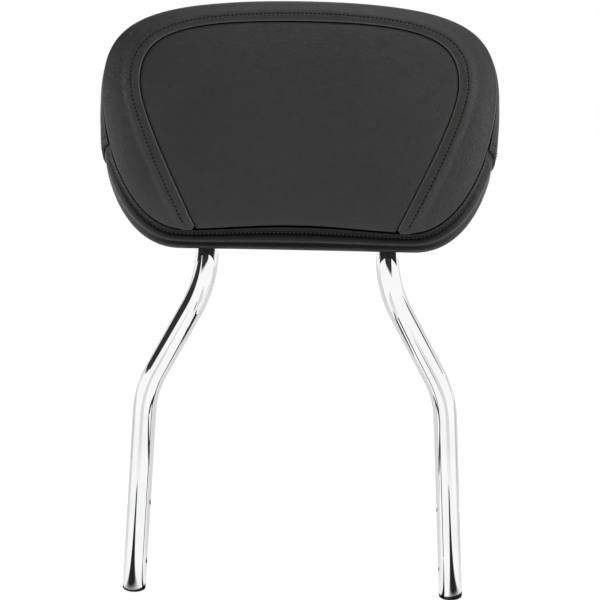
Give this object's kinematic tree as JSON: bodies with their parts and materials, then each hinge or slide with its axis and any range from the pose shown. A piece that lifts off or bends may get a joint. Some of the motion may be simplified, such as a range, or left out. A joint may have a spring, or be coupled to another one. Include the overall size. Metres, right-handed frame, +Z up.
{
  "type": "sissy bar",
  "caption": "Bent chrome tube bar for a motorcycle's rear fender, with a raked upright arch that carries a rounded, padded black vinyl passenger backrest.",
  "frame": {"origin": "midway between the two legs and midway between their upper and lower bolt holes", "axes": "+X across the bar along the bolt holes' axes, +Y to the rear of the motorcycle, +Z up along the legs; the pad faces -Y"},
  "size_m": [0.3066, 0.0957, 0.4806],
  "materials": {
    "chrome": "mirror-bright chrome plate",
    "steel": "plain zinc-plated steel",
    "vinyl": "satin black vinyl with a fine grain",
    "foam": "open-cell moulded foam",
    "plywood": "unfinished plywood",
    "hardboard": "smooth hardboard",
    "clip": "black nylon"
  },
  "bodies": {
    "root": {"bar_tube": "chrome", "left_end_insert": "steel", "right_end_insert": "steel", "lower_mount_strap": "chrome", "upper_mount_strap": "chrome", "weld_beads": "chrome", "base_board": "plywood", "tee_nuts": "steel", "foam_core": "foam", "centre_panel": "vinyl", "border_panel": "vinyl", "upper_boxing": "vinyl", "lower_boxing": "vinyl", "rear_sheet": "hardboard", "rear_cover": "vinyl", "staples": "steel", "panel_clips": "clip", "pad_screws": "steel", "lock_washers": "steel", "flat_washers": "steel"}
  },
  "joints": []
}
